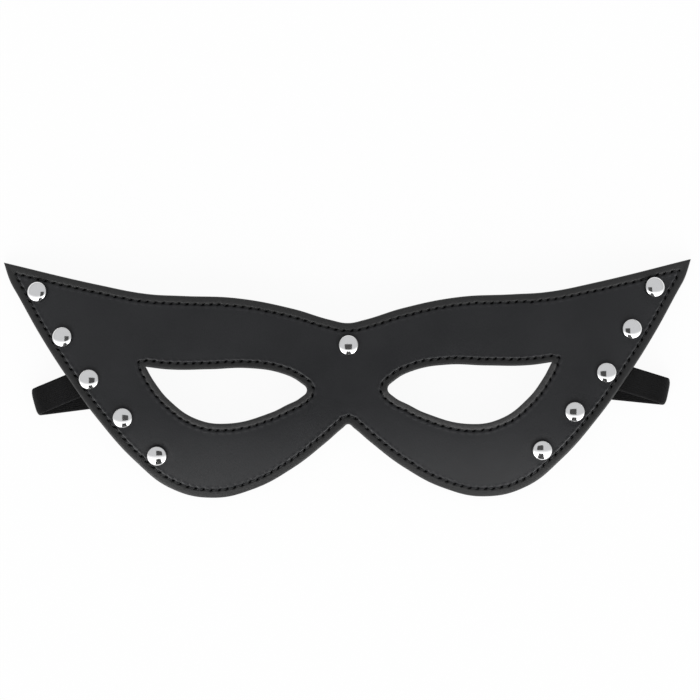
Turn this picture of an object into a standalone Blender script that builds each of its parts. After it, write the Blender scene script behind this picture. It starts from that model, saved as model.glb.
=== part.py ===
"""A studded eye mask of black leather, lying face up with its elastic strap folded away behind it.

The panel is one sheet with upswept pointed tips, two eye holes and two rounded lower lobes. It is
bowed like a shallow shell, so its tips and lobes rest on the surface and its middle stands clear.
Eleven dome rivets go through it. The third one on each side also holds an end of the strap, which
runs out past the panel, folds back under itself and crosses flat on the surface behind the cheeks.

Units are metres. X is the mask's width, Y runs from the lobes up to the brow, Z is up off the
surface. The origin is the middle of the mask on that surface.
"""

import math
from collections import namedtuple

import bmesh
import bpy
import numpy as np
from mathutils import Matrix, Vector

# Leather panel
MASK_WIDTH = 0.2500
MASK_HEIGHT = 0.0860
LEATHER_THICKNESS = 0.0022
HOLLOW_DEPTH = 0.0080

# Bow of the panel, as shares of half its width, of its height and of the hollow's depth
LEVEL_WIDTH = 0.70
CREST_LINE = -0.087
TIP_FALL_TO_SIDE = 0.72
LOBE_ROUNDNESS = 2.3

# Dome rivets
CAP_DIAMETER = 0.0074
CAP_HEIGHT = 0.0021
CAP_RIM_HEIGHT = 0.0003
POST_DIAMETER = 0.0020
POST_IN_CAP = 0.0009
BACK_DIAMETER = 0.0068
BACK_THICKNESS = 0.0010
BACK_CHAMFER = 0.0002

# Elastic strap
STRAP_WIDTH = 0.0096
STRAP_THICKNESS = 0.0010
STRAP_TAIL = 0.0080
STRAP_REACH = 0.0213
STRAP_REAR_LENGTH = 0.0180
STRAP_UNDER_PANEL = 0.0100
FOLD_RADIUS = 0.0023

# Gap kept between pieces that touch, and the room left for the sheet's flat facets over the surface
CLEARANCE = 0.0003
FACET_SAG = 0.0001

# Half the side of the unit square that a sheet or a strip starts from
HALF_SQUARE = 0.5

# Fineness of the surfaces
SHEET_CELL = 0.0062
OUTLINE_STEPS = 5
CAP_SIDES = 20
BACK_SIDES = 14
DOME_RINGS = 5
STRAP_STEP = 0.0030
FOLD_STEP_LENGTH = 0.0007
STRAP_COLUMNS = np.array((-0.5, 0, 0.5))

Point = namedtuple("Point", "x y corner")
Rivet = namedtuple("Rivet", "name x y holds_strap")
StrapEnd = namedtuple("StrapEnd", "side rivet reach front_slope rear_slope")
EyeCut = namedtuple("EyeCut", "side wide tall rise")

# Half the outline, from the notch in the brow round the tip and the lobe to the nose, as shares of
# half the width and of the height measured from mid height
HALF_OUTLINE = (
    Point(0.000, 0.236, False),
    Point(0.048, 0.249, False),
    Point(0.160, 0.298, False),
    Point(0.320, 0.343, False),
    Point(0.480, 0.354, False),
    Point(0.580, 0.363, False),
    Point(0.720, 0.402, False),
    Point(1.000, 0.500, True),
    Point(0.981, 0.420, False),
    Point(0.956, 0.355, False),
    Point(0.888, 0.181, False),
    Point(0.810, 0.006, False),
    Point(0.723, -0.168, False),
    Point(0.618, -0.342, False),
    Point(0.516, -0.459, False),
    Point(0.396, -0.500, False),
    Point(0.280, -0.465, False),
    Point(0.160, -0.373, False),
    Point(0.064, -0.266, False),
    Point(0.016, -0.206, False),
    Point(0.000, -0.190, False),
)

# An eye hole, from its pointed outer corner along the top, in the same shares
EYE_HOLE = (
    Point(0.588, 0.061, True),
    Point(0.520, 0.049, False),
    Point(0.400, 0.049, False),
    Point(0.288, 0.053, False),
    Point(0.192, 0.030, False),
    Point(0.136, -0.011, False),
    Point(0.117, -0.044, False),
    Point(0.136, -0.077, False),
    Point(0.176, -0.108, False),
    Point(0.224, -0.142, False),
    Point(0.352, -0.188, False),
    Point(0.440, -0.1675, False),
    Point(0.518, -0.087, False),
    Point(0.564, -0.002, False),
)

# The two eye holes as they were cut by hand: each one's size against EYE_HOLE and its rise, a share
# of the height
EYE_CUTS = (
    EyeCut(-1, 0.990, 0.965, -0.001),
    EyeCut(1, 1.010, 1.035, 0.001),
)

# Rivets where they were set by hand, in the same shares
RIVETS = (
    Rivet("centre", 0.002, 0.143, False),
    Rivet("left_1", -0.900, 0.375, False),
    Rivet("left_2", -0.827, 0.184, False),
    Rivet("left_3", -0.750, 0.005, True),
    Rivet("left_4", -0.653, -0.158, False),
    Rivet("left_5", -0.555, -0.318, False),
    Rivet("right_1", 0.891, 0.381, False),
    Rivet("right_2", 0.823, 0.205, False),
    Rivet("right_3", 0.748, 0.022, True),
    Rivet("right_4", 0.656, -0.142, False),
    Rivet("right_5", 0.562, -0.303, False),
)

# The strap's two folds: how far each reaches past its rivet, as a share of STRAP_REACH, and how
# many degrees its two layers lean from the width of the mask
STRAP_ENDS = (
    StrapEnd(-1, "left_3", 1.04, 22.2, 7.0),
    StrapEnd(1, "right_3", 1.13, 17.4, 6.1),
)

# Half of the strap's way behind the cheek and the nose, in shares of the panel, from the outside in
HIDDEN_ROUTE = (
    (0.680, -0.071),
    (0.618, -0.103),
    (0.554, -0.170),
    (0.474, -0.234),
    (0.372, -0.272),
    (0.256, -0.247),
    (0.136, -0.157),
    (0.000, -0.119),
)


def back_height(x, y):
    """Height of the leather's back face: level in the middle, falling to the tips and the lobes."""
    half_width, half_height = MASK_WIDTH / 2, MASK_HEIGHT / 2
    level, crest = LEVEL_WIDTH * half_width, CREST_LINE * MASK_HEIGHT
    side = np.maximum(np.abs(x) - level, 0) / (half_width - level)
    brow = np.maximum(y - crest, 0) / (half_height - crest)
    lobe = np.maximum(crest - y, 0) / (half_height + crest)
    fall = TIP_FALL_TO_SIDE * side**2 + (1 - TIP_FALL_TO_SIDE) * brow**2 + lobe**LOBE_ROUNDNESS
    return FACET_SAG + HOLLOW_DEPTH * (1 - fall)


def slopes(x, y):
    """Rise of the leather along X and along Y."""
    step = MASK_HEIGHT / 1000
    along_x = (back_height(x + step, y) - back_height(x - step, y)) / (2 * step)
    along_y = (back_height(x, y + step) - back_height(x, y - step)) / (2 * step)
    return along_x, along_y


def front_height(x, y):
    """Height of the leather's front face, a wall's thickness in front of the back one."""
    along_x, along_y = slopes(x, y)
    return back_height(x, y) + LEATHER_THICKNESS * np.sqrt(1 + along_x**2 + along_y**2)


def on_panel(share_x, share_y):
    """Plan position of a point given in shares of the panel."""
    return share_x * MASK_WIDTH / 2, share_y * MASK_HEIGHT


def link(obj, collection, material=None):
    """Put an object in a collection, with its material."""
    collection.objects.link(obj)
    if material:
        obj.data.materials.append(material)
    return obj


def make_material(name, colour, roughness, metallic):
    """Plain surface colour of one kind of piece."""
    material = bpy.data.materials.new(name)
    material.use_nodes = True
    shader = material.node_tree.nodes["Principled BSDF"]
    shader.inputs["Base Color"].default_value = (*colour, 1)
    shader.inputs["Roughness"].default_value = roughness
    shader.inputs["Metallic"].default_value = metallic
    material.diffuse_color = (*colour, 1)
    return material


def add_spline(curve, points):
    """Close a smooth spline through the points, pointed where a point is a corner."""
    spline = curve.splines.new("BEZIER")
    spline.bezier_points.add(len(points) - 1)
    for knot, point in zip(spline.bezier_points, points):
        knot.co = (*on_panel(point.x, point.y), 0)
        knot.handle_left_type = knot.handle_right_type = "VECTOR" if point.corner else "AUTO"
    spline.use_cyclic_u = True


def eye_hole(eye):
    """One eye hole's points, sized about the middle of its table and set on its own side."""
    middle_x = (max(p.x for p in EYE_HOLE) + min(p.x for p in EYE_HOLE)) / 2
    middle_y = (max(p.y for p in EYE_HOLE) + min(p.y for p in EYE_HOLE)) / 2
    return [
        Point(
            eye.side * (middle_x + eye.wide * (point.x - middle_x)),
            middle_y + eye.rise + eye.tall * (point.y - middle_y),
            point.corner,
        )
        for point in EYE_HOLE
    ]


def outline_prism(cutters):
    """The panel's outline with its eye holes, as a tall upright block that trims the bowed sheet."""
    curve = bpy.data.curves.new("panel_outline", "CURVE")
    curve.dimensions = "2D"
    curve.fill_mode = "BOTH"
    curve.resolution_u = OUTLINE_STEPS
    curve.extrude = 2 * (HOLLOW_DEPTH + LEATHER_THICKNESS)
    mirrored = [Point(-p.x, p.y, p.corner) for p in reversed(HALF_OUTLINE[1:-1])]
    add_spline(curve, [*HALF_OUTLINE, *mirrored])
    for eye in EYE_CUTS:
        add_spline(curve, eye_hole(eye))
    drawn = link(bpy.data.objects.new("panel_outline", curve), cutters)
    bpy.context.view_layer.update()
    evaluated = drawn.evaluated_get(bpy.context.evaluated_depsgraph_get())
    mesh = bpy.data.meshes.new_from_object(evaluated)
    bpy.data.objects.remove(drawn)
    block = bmesh.new()
    block.from_mesh(mesh)
    bmesh.ops.remove_doubles(block, verts=block.verts, dist=1e-6)
    bmesh.ops.recalc_face_normals(block, faces=block.faces)
    block.to_mesh(mesh)
    block.free()
    return hide(link(bpy.data.objects.new("panel_cutter", mesh), cutters))


def hide(cutter):
    """Keep a cutter out of the finished object."""
    cutter.hide_render = True
    cutter.display_type = "WIRE"
    return cutter


def rivet_holes(cutters):
    """A hole for each rivet's post, square to the leather where the rivet sits."""
    holes = bmesh.new()
    length = 4 * (LEATHER_THICKNESS + STRAP_THICKNESS + CLEARANCE)
    for rivet in RIVETS:
        bmesh.ops.create_cone(
            holes,
            cap_ends=True,
            segments=BACK_SIDES,
            radius1=POST_DIAMETER / 2 + CLEARANCE,
            radius2=POST_DIAMETER / 2 + CLEARANCE,
            depth=length,
            matrix=rivet_frame(rivet),
        )
    mesh = bpy.data.meshes.new("rivet_holes")
    holes.to_mesh(mesh)
    holes.free()
    return hide(link(bpy.data.objects.new("rivet_holes", mesh), cutters))


def rivet_frame(rivet):
    """Where a rivet's axis meets the front face, turned square to the leather there."""
    x, y = on_panel(rivet.x, rivet.y)
    along_x, along_y = slopes(x, y)
    upright = Vector((-along_x, -along_y, 1)).to_track_quat("Z", "Y")
    place = Vector((x, y, front_height(x, y)))
    return Matrix.Translation(place) @ upright.to_matrix().to_4x4()


def cut(obj, cutter, operation):
    """Trim or pierce an object with a cutter."""
    modifier = obj.modifiers.new(cutter.name, "BOOLEAN")
    modifier.operation = operation
    modifier.object = cutter


def mask_panel(parts, outline, holes, material):
    """The leather: a bowed sheet of even thickness, trimmed to its outline and pierced."""
    reach = 4 * SHEET_CELL
    width, height = MASK_WIDTH + reach, MASK_HEIGHT + reach
    sheet = bmesh.new()
    bmesh.ops.create_grid(
        sheet,
        x_segments=math.ceil(width / SHEET_CELL),
        y_segments=math.ceil(height / SHEET_CELL),
        size=HALF_SQUARE,
    )
    bmesh.ops.triangulate(sheet, faces=sheet.faces)
    for vertex in sheet.verts:
        x, y = vertex.co.x * width, vertex.co.y * height
        vertex.co = (x, y, back_height(x, y))
    mesh = bpy.data.meshes.new("mask_panel")
    sheet.to_mesh(mesh)
    sheet.free()
    panel = link(bpy.data.objects.new("mask_panel", mesh), parts, material)
    wall = panel.modifiers.new("leather_thickness", "SOLIDIFY")
    wall.thickness = LEATHER_THICKNESS
    wall.offset = 1
    wall.use_even_offset = True
    cut(panel, outline, "INTERSECT")
    cut(panel, holes, "DIFFERENCE")


def turned(name, profile, sides, collection, material, frame):
    """Turn a profile of (radius, height) pairs, listed from the top down its outside, into a solid."""
    mesh = bpy.data.meshes.new(name)
    edges = [(i, i + 1) for i in range(len(profile) - 1)]
    mesh.from_pydata([(radius, 0, height) for radius, height in profile], edges, [])
    solid = link(bpy.data.objects.new(name, mesh), collection, material)
    screw = solid.modifiers.new("turned", "SCREW")
    screw.steps = screw.render_steps = sides
    screw.use_merge_vertices = True
    screw.merge_threshold = 0.00001
    solid.matrix_world = frame
    return solid


def stud_cap(rivet, parts, material):
    """The bright dome, with a blind socket in its flat underside for the post."""
    radius, socket = CAP_DIAMETER / 2, POST_DIAMETER / 2 + CLEARANCE
    rim = CLEARANCE + CAP_RIM_HEIGHT
    crown = CAP_HEIGHT - CAP_RIM_HEIGHT
    turns = [math.pi / 2 * (1 - ring / DOME_RINGS) for ring in range(DOME_RINGS + 1)]
    dome = [(radius * math.cos(turn), rim + crown * math.sin(turn)) for turn in turns]
    dome[0] = (0, rim + crown)
    ceiling = CLEARANCE + POST_IN_CAP + CLEARANCE
    seat = [(radius, CLEARANCE), (socket, CLEARANCE), (socket, ceiling), (0, ceiling)]
    turned(f"stud_cap_{rivet.name}", dome + seat, CAP_SIDES, parts, material, rivet_frame(rivet))


def rivet_back(rivet, parts, material):
    """The plain back of a rivet: a flat disc and the post that goes up into the cap."""
    held = LEATHER_THICKNESS + CLEARANCE
    if rivet.holds_strap:
        held += STRAP_THICKNESS + CLEARANCE
    post, disc = POST_DIAMETER / 2, BACK_DIAMETER / 2
    top, face, bottom = CLEARANCE + POST_IN_CAP, -held, -held - BACK_THICKNESS
    profile = [
        (0, top),
        (post, top),
        (post, face),
        (disc, face),
        (disc, bottom + BACK_CHAMFER),
        (disc - BACK_CHAMFER, bottom),
        (0, bottom),
    ]
    turned(f"rivet_back_{rivet.name}", profile, BACK_SIDES, parts, material, rivet_frame(rivet))


def smooth_path(points, step):
    """Even steps along a smooth curve through plan points, each with its direction.

    The first and last points only set the direction of the ends: the steps lie between the other
    points, without their own ends.
    """
    points = np.array(points)
    chords = np.linalg.norm(np.diff(points, axis=0), axis=1)
    at = np.concatenate([[0], np.cumsum(chords)])
    rates = np.gradient(points, at, axis=0, edge_order=2)
    count = max(2, round((at[-2] - at[1]) / step))
    stations = np.linspace(at[1], at[-2], count + 1)[1:-1]
    span = np.searchsorted(at, stations, side="right") - 1
    t = ((stations - at[span]) / chords[span])[:, None]
    length = chords[span][:, None]
    start, end = points[span], points[span + 1]
    leave, arrive = rates[span] * length, rates[span + 1] * length
    path = (
        (2 * t**3 - 3 * t**2 + 1) * start
        + (t**3 - 2 * t**2 + t) * leave
        + (3 * t**2 - 2 * t**3) * end
        + (t**3 - t**2) * arrive
    )
    heading = np.gradient(path, axis=0)
    return path, heading / np.linalg.norm(heading, axis=1, keepdims=True)


def strap_end(end):
    """Rows of points of one end of the strap, from its tail out to the fold and back under itself.

    The band is flat cloth wound half a turn round a level axis. A point of it is placed by how far
    it lies round that axis and how far along it, so both layers and the fold stay unstretched. The
    front layer lies against the back of the panel, and past the panel's edge eases to the fold.
    """
    rivet = next(r for r in RIVETS if r.name == end.rivet)
    anchor = np.array(on_panel(rivet.x, rivet.y))
    front, rear = math.radians(end.front_slope), math.radians(end.rear_slope)
    mean, lean = (front + rear) / 2, (front - rear) / 2
    outward = np.array((end.side * math.cos(front), -math.sin(front)))
    normal = np.array((end.side * math.cos(mean), -math.sin(mean)))
    axis = end.side * np.array((normal[1], -normal[0]))
    low = STRAP_THICKNESS / 2
    top = low + 2 * FOLD_RADIUS
    half_turn = math.pi * FOLD_RADIUS

    run = end.reach * STRAP_REACH - FOLD_RADIUS - low
    slant = STRAP_WIDTH / 2 * math.tan(lean)
    front_rows = np.arange(-run - STRAP_TAIL, -slant - FOLD_STEP_LENGTH, STRAP_STEP)
    fold_rows = np.arange(-slant, half_turn + slant + FOLD_STEP_LENGTH, FOLD_STEP_LENGTH)
    rear_rows = np.linspace(half_turn + slant + 2 * FOLD_STEP_LENGTH, half_turn + STRAP_REAR_LENGTH, 5)
    along = np.concatenate([front_rows, fold_rows, rear_rows])[:, None]
    across = STRAP_COLUMNS * STRAP_WIDTH

    round_axis = along * math.cos(lean) - across * math.sin(lean)
    along_axis = along * math.sin(lean) + across * math.cos(lean)
    turn = np.clip(round_axis, 0, half_turn) / FOLD_RADIUS
    past = np.maximum(round_axis - half_turn, 0)
    reach = np.minimum(round_axis, 0) + FOLD_RADIUS * np.sin(turn) - past
    plan = anchor + run * outward + reach[..., None] * normal + along_axis[..., None] * axis
    height = low + FOLD_RADIUS * (1 + np.cos(turn))
    against_panel = back_height(plan[..., 0], plan[..., 1]) - CLEARANCE - low
    free = np.clip((along + run - STRAP_UNDER_PANEL) / (run - STRAP_UNDER_PANEL), 0, 1)
    free = free**2 * (3 - 2 * free)
    height = np.where(round_axis < 0, free * top + (1 - free) * against_panel, height)
    return np.concatenate([plan, height[..., None]], axis=2)


def strap_rows():
    """All rows of the strap, from the tail at the left to the tail at the right."""
    left, right = map(strap_end, STRAP_ENDS)
    route = [np.array(on_panel(*share)) for share in HIDDEN_ROUTE]
    from_left = [point * (-1, 1) for point in route]
    to_right = route[-2::-1]
    middle = STRAP_COLUMNS.size // 2
    leave, arrive = left[(-3, -1), middle, :2], right[(-1, -3), middle, :2]
    path, heading = smooth_path([*leave, *from_left, *to_right, *arrive], STRAP_STEP)
    sideways = np.stack([heading[:, 1], -heading[:, 0]], axis=1)
    plan = path[:, None] + STRAP_COLUMNS[:, None] * STRAP_WIDTH * sideways[:, None]
    level = np.full((*plan.shape[:2], 1), STRAP_THICKNESS / 2)
    return np.concatenate([left, np.concatenate([plan, level], axis=2), right[::-1]])


def elastic_strap(parts, holes, material):
    """One flat band: a strip of rows and columns laid along the strap's way, then thickened."""
    rows = strap_rows()
    last_row, last_column = rows.shape[0] - 1, rows.shape[1] - 1
    strip = bmesh.new()
    bmesh.ops.create_grid(strip, x_segments=last_row, y_segments=last_column, size=HALF_SQUARE)
    for vertex in strip.verts:
        row = round((vertex.co.x + HALF_SQUARE) * last_row)
        column = round((vertex.co.y + HALF_SQUARE) * last_column)
        vertex.co = rows[row, column]
    mesh = bpy.data.meshes.new("elastic_strap")
    strip.to_mesh(mesh)
    strip.free()
    strap = link(bpy.data.objects.new("elastic_strap", mesh), parts, material)
    wall = strap.modifiers.new("strap_thickness", "SOLIDIFY")
    wall.thickness = STRAP_THICKNESS
    wall.offset = 0
    cut(strap, holes, "DIFFERENCE")


def main():
    for obj in list(bpy.data.objects):
        bpy.data.objects.remove(obj)
    parts = bpy.data.collections.new("studded_eye_mask")
    cutters = bpy.data.collections.new("cutters")
    for collection in (parts, cutters):
        bpy.context.scene.collection.children.link(collection)
    leather = make_material("black_leather", (0.030, 0.030, 0.033), 0.45, 0)
    chrome = make_material("bright_chrome", (0.80, 0.81, 0.82), 0.08, 1)
    steel = make_material("plain_steel", (0.45, 0.45, 0.46), 0.35, 1)
    elastic = make_material("black_elastic", (0.010, 0.010, 0.011), 0.85, 0)
    outline = outline_prism(cutters)
    holes = rivet_holes(cutters)
    mask_panel(parts, outline, holes, leather)
    for rivet in RIVETS:
        stud_cap(rivet, parts, chrome)
        rivet_back(rivet, parts, steel)
    elastic_strap(parts, holes, elastic)


main()
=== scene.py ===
import math
from collections import namedtuple

import bpy
import numpy as np
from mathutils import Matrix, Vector
from mathutils.geometry import delaunay_2d_cdt


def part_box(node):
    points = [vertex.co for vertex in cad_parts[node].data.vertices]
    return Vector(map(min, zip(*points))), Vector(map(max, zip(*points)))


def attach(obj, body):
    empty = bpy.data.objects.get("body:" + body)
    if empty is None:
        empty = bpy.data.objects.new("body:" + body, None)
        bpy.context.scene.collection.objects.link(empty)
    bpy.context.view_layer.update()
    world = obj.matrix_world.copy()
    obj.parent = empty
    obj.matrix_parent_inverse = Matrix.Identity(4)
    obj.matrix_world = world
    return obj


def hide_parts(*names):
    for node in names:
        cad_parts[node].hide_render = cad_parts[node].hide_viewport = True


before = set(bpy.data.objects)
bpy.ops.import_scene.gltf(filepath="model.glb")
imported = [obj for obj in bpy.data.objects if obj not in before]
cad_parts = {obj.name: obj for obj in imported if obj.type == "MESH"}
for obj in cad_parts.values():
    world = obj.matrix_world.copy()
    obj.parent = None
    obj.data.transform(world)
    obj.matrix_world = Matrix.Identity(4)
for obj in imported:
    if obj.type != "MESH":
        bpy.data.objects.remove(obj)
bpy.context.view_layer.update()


# The leather panel. One sheet of smooth black leather, cut to a winged outline with two almond eye
# holes and bowed like a shallow shell. Everything else is riveted or sewn to it. This part gives the
# lines it is cut to: half the outline, then one eye hole, as shares of half the width and the height.
Knot = namedtuple("Knot", "x y corner")
EyeCut = namedtuple("EyeCut", "name side wide tall rise")

panel_low, panel_high = (np.array(corner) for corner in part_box("mask_panel"))
HALF_WIDTH = (panel_high[0] - panel_low[0]) / 2
PANEL_HEIGHT = panel_high[1] - panel_low[1]

HALF_OUTLINE = (
    Knot(0.000, 0.236, False),
    Knot(0.048, 0.249, False),
    Knot(0.160, 0.298, False),
    Knot(0.320, 0.343, False),
    Knot(0.480, 0.354, False),
    Knot(0.580, 0.363, False),
    Knot(0.720, 0.402, False),
    Knot(1.000, 0.500, True),
    Knot(0.981, 0.420, False),
    Knot(0.956, 0.355, False),
    Knot(0.888, 0.181, False),
    Knot(0.810, 0.006, False),
    Knot(0.723, -0.168, False),
    Knot(0.618, -0.342, False),
    Knot(0.516, -0.459, False),
    Knot(0.396, -0.500, False),
    Knot(0.280, -0.465, False),
    Knot(0.160, -0.373, False),
    Knot(0.064, -0.266, False),
    Knot(0.016, -0.206, False),
    Knot(0.000, -0.190, False),
)
EYE_HOLE = (
    Knot(0.588, 0.061, True),
    Knot(0.520, 0.049, False),
    Knot(0.400, 0.049, False),
    Knot(0.288, 0.053, False),
    Knot(0.192, 0.030, False),
    Knot(0.136, -0.011, False),
    Knot(0.117, -0.044, False),
    Knot(0.136, -0.077, False),
    Knot(0.176, -0.108, False),
    Knot(0.224, -0.142, False),
    Knot(0.352, -0.188, False),
    Knot(0.440, -0.1675, False),
    Knot(0.518, -0.087, False),
    Knot(0.564, -0.002, False),
)
EYE_CUTS = (
    EyeCut("left", -1, 0.990, 0.965, -0.001),
    EyeCut("right", 1, 1.010, 1.035, 0.001),
)
HANDLE_SPAN = 2.5614
FINE_STEPS = 40
POINTS_AT_ONCE = 4000


def even_steps(curve, step, whole=1):
    """Points at even steps round a closed run of points, in a multiple of a whole number of steps."""
    loop = np.vstack([curve, curve[:1]])
    at = np.concatenate([[0], np.cumsum(np.linalg.norm(np.diff(loop, axis=0), axis=1))])
    count = whole * max(1, round(at[-1] / (step * whole)))
    stations = np.linspace(0, at[-1], count, endpoint=False)
    return np.stack([np.interp(stations, at, loop[:, 0]), np.interp(stations, at, loop[:, 1])], axis=1)


def drawn(knots, leather_inside):
    """Fine points round a closed curve through the knots, with the leather always on its left.

    From knot to knot the curve is a cubic. Its handles lie along the mean direction of the two
    chords that meet at a knot, each as long as its chord over HANDLE_SPAN, and at a corner they lie
    on the chords, a third of the way. It starts at the last corner of the table.
    """
    at = np.array([(knot.x * HALF_WIDTH, knot.y * PANEL_HEIGHT) for knot in knots])
    corner = np.array([knot.corner for knot in knots])[:, None]
    before, after = at - np.roll(at, 1, axis=0), np.roll(at, -1, axis=0) - at
    length_before = np.linalg.norm(before, axis=1, keepdims=True)
    length_after = np.linalg.norm(after, axis=1, keepdims=True)
    lean = before / length_before + after / length_after
    lean /= HANDLE_SPAN * np.linalg.norm(lean, axis=1, keepdims=True)
    leave = np.where(corner, after / 3, lean * length_after)[:, None]
    arrive = np.roll(np.where(corner, before / 3, lean * length_before), -1, axis=0)[:, None]
    start, end = at[:, None], np.roll(at, -1, axis=0)[:, None]
    t = np.linspace(0, 1, FINE_STEPS, endpoint=False)[:, None]
    curve = (1 - t) ** 3 * start + 3 * (1 - t) ** 2 * t * (start + leave)
    curve = (curve + 3 * (1 - t) * t**2 * (end - arrive) + t**3 * end).reshape(-1, 2)
    curve = np.roll(curve, -FINE_STEPS * int(np.flatnonzero(corner)[-1]), axis=0)
    beyond = np.roll(curve, -1, axis=0)
    turns_left = (curve[:, 0] * beyond[:, 1] - curve[:, 1] * beyond[:, 0]).sum() > 0
    return curve if turns_left == leather_inside else np.roll(curve[::-1], 1, axis=0)


def eye_knots(eye):
    """The knots of one eye hole, sized about the middle of the table and set on its own side."""
    middle_x = (max(k.x for k in EYE_HOLE) + min(k.x for k in EYE_HOLE)) / 2
    middle_y = (max(k.y for k in EYE_HOLE) + min(k.y for k in EYE_HOLE)) / 2
    return [
        Knot(
            eye.side * (middle_x + eye.wide * (knot.x - middle_x)),
            middle_y + eye.rise + eye.tall * (knot.y - middle_y),
            knot.corner,
        )
        for knot in EYE_HOLE
    ]


def inward(curve, longest):
    """The step from each point of a curve to a line one unit inside the leather.

    It is square to the curve, and at a corner it is the sum of the two square directions over one
    plus their product, which is the corner's mitre. Where the leather turns outward round a
    corner, the step is held to the longest one given.
    """
    chord = np.roll(curve, -1, axis=0) - curve
    chord /= np.linalg.norm(chord, axis=1, keepdims=True)
    square = np.stack([-chord[:, 1], chord[:, 0]], axis=1)
    before = np.roll(square, 1, axis=0)
    mitre = (before + square) / (1 + (before * square).sum(axis=1, keepdims=True))
    length = np.linalg.norm(mitre, axis=1, keepdims=True)
    outward_turn = (before[:, 0] * square[:, 1] - before[:, 1] * square[:, 0] < 0)[:, None]
    return np.where(outward_turn, mitre * np.minimum(1, longest / length), mitre)


def nearest(points, curve):
    """How far each point is from a closed curve, plus on its left, and where its foot is along it.

    The closest vertex is found first, then the foot on the two chords that meet there. The side is
    that of the mitre at the vertex. The place along is a fraction of the whole curve.
    """
    square = (curve**2).sum(axis=1)
    parts = np.array_split(points, len(points) // POINTS_AT_ONCE + 1)
    vertex = np.concatenate([(square - 2 * part @ curve.T).argmin(axis=1) for part in parts])
    gaps, feet = [], []
    for start in (vertex - 1, vertex):
        origin = curve[start]
        chord = curve[(start + 1) % len(curve)] - origin
        share = np.clip(((points - origin) * chord).sum(axis=1) / (chord**2).sum(axis=1), 0, 1)
        gaps.append(np.linalg.norm(points - origin - share[:, None] * chord, axis=1))
        feet.append((start + share) / len(curve) % 1)
    closer = gaps[0] < gaps[1]
    side = np.sign(((points - curve[vertex]) * inward(curve, 1.0)[vertex]).sum(axis=1))
    return np.where(closer, *gaps) * np.where(side == 0, 1, side), np.where(closer, *feet)


outline = drawn([*HALF_OUTLINE, *(Knot(-k.x, k.y, k.corner) for k in HALF_OUTLINE[-2:0:-1])], True)
eye_lines = [drawn(eye_knots(eye), False) for eye in EYE_CUTS]


# The seams. A row of stitches runs just inside the outline and round each eye hole. It turns at a
# needle hole in every point. The lines are worked out here because the leather puffs up beside
# them and is drawn down at each needle hole.
EDGE_TO_SEAM = 0.0029
EYE_TO_SEAM = 0.0024
STITCH_PITCH = 0.0029
SEAM_STEPS = 10
SEAM_EDGE_STEP = 0.0003
ROUNDED_MITRE = 1.35
LEAST_KEPT = 0.99


def seam_line(curve, inset):
    """Even steps along a seam that keeps one inset from its edge, a whole number to the stitch."""
    line = curve + inset * inward(curve, ROUNDED_MITRE)
    kept = nearest(line, curve)[0] >= LEAST_KEPT * inset
    return even_steps(line[kept], STITCH_PITCH / SEAM_STEPS, SEAM_STEPS)


edge_seam = seam_line(even_steps(outline, SEAM_EDGE_STEP), EDGE_TO_SEAM)
eye_seams = [seam_line(even_steps(line, SEAM_EDGE_STEP), EYE_TO_SEAM) for line in eye_lines]


# The rivets' places, as they were set by hand: one on the nose and five down each wing. The third
# one down on each side also holds the strap. Each cap sits a degree or two askew along the mask.
Rivet = namedtuple("Rivet", "name x y askew holds_strap")
RIVETS = (
    Rivet("centre", 0.002, 0.143, 1.2, False),
    Rivet("left_1", -0.900, 0.375, -2.6, False),
    Rivet("left_2", -0.827, 0.184, -2.2, False),
    Rivet("left_3", -0.750, 0.005, 2.0, True),
    Rivet("left_4", -0.653, -0.158, -1.8, False),
    Rivet("left_5", -0.555, -0.318, -2.2, False),
    Rivet("right_1", 0.891, 0.381, 0.8, False),
    Rivet("right_2", 0.823, 0.205, 1.2, False),
    Rivet("right_3", 0.748, 0.022, 0.4, True),
    Rivet("right_4", 0.656, -0.142, -2.6, False),
    Rivet("right_5", 0.562, -0.303, 2.0, False),
)
rivet_places = np.array([(r.x * HALF_WIDTH, r.y * PANEL_HEIGHT) for r in RIVETS])


# The leather itself: a sheet a little over two millimetres thick, level in the middle and falling
# to the tips and the lobes. Its edge is cut square, rubbed round and blackened.
LEATHER_THICKNESS = 0.0022
HOLLOW_DEPTH = 0.0080
BACK_LIFT = 0.0001
LEVEL_WIDTH = 0.70 * HALF_WIDTH
CREST_LINE = -0.087 * PANEL_HEIGHT
TIP_FALL_TO_SIDE = 0.72
LOBE_ROUNDNESS = 2.3
SLOPE_STEP = 0.0001

EDGE_ROUND = 0.0007
BAND_CROWN = 0.00010
SHOULDER_HEIGHT = 0.00050
SHOULDER_OUTSIDE = 0.00095
SHOULDER_INSIDE = 0.00110
NEEDLE_DEPTH = 0.00038
NEEDLE_WIDTH = 0.00036
NEEDLE_LENGTH = 0.00074
NEEDLE_SLANT = 0.30
PUFF_HEIGHT = 0.00016
PUFF_REACH = 0.0034
PUCKER_HEIGHT = 0.00024
PUCKER_AT = 0.00080
PUCKER_WIDTH = 0.00042
HOLE_WANDER = 0.00010
BORDER_FADE = 0.0004
STUD_SINK = 0.00030
STUD_SINK_RADIUS = 0.0050
# Painted highlight on the borders that face the brow: the most for the outline, the left and the right
# eye hole, and how far towards the brow a border must face for the full amount.
MOST_PAINTED_SHEEN = (0.18, 0.55, 1.0)
PAINTED_SHEEN_FROM = 0.5


def back_height(x, y):
    """Height of the back face: level in the middle, a square law to the tips and the brow, and a
    slightly steeper one to the lobes."""
    side = np.maximum(np.abs(x) - LEVEL_WIDTH, 0) / (HALF_WIDTH - LEVEL_WIDTH)
    brow = np.maximum(y - CREST_LINE, 0) / (PANEL_HEIGHT / 2 - CREST_LINE)
    lobe = np.maximum(CREST_LINE - y, 0) / (PANEL_HEIGHT / 2 + CREST_LINE)
    fall = TIP_FALL_TO_SIDE * side**2 + (1 - TIP_FALL_TO_SIDE) * brow**2 + lobe**LOBE_ROUNDNESS
    return BACK_LIFT + HOLLOW_DEPTH * (1 - fall)


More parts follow.
